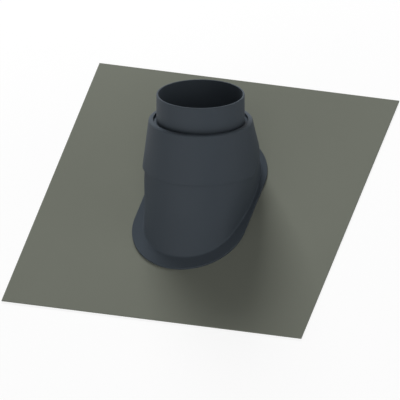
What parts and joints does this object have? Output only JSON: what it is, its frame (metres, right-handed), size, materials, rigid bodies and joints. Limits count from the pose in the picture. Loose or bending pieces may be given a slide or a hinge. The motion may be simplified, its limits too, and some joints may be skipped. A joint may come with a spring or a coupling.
{
  "type": "pipe flashing boot",
  "caption": "Pitched-roof pipe flashing: square flexible sheet with a moulded boot whose round collar stands plumb on a 30 degree roof",
  "frame": {"origin": "middle of the flashing sheet's underside, where the collar's axis crosses it", "axes": "+Z out of the roof, square to the sheet; +Y up the roof slope; +X to the right along the ridge. The collar's axis leans 30 degrees from +Z towards +Y, so it is plumb on a roof of 30 degrees pitch"},
  "size_m": [0.5, 0.5, 0.1882],
  "materials": {
    "flashing_sheet": "matt grey-green flexible flashing sheet with a fine grain",
    "sealing_strip": "black butyl",
    "boot_plastic": "dark blue-grey moulded plastic, satin matt"
  },
  "bodies": {
    "root": {"flashing_sheet": "flashing_sheet", "sealing_strip": "sealing_strip", "base_shoe": "boot_plastic", "hood": "boot_plastic"}
  },
  "joints": []
}
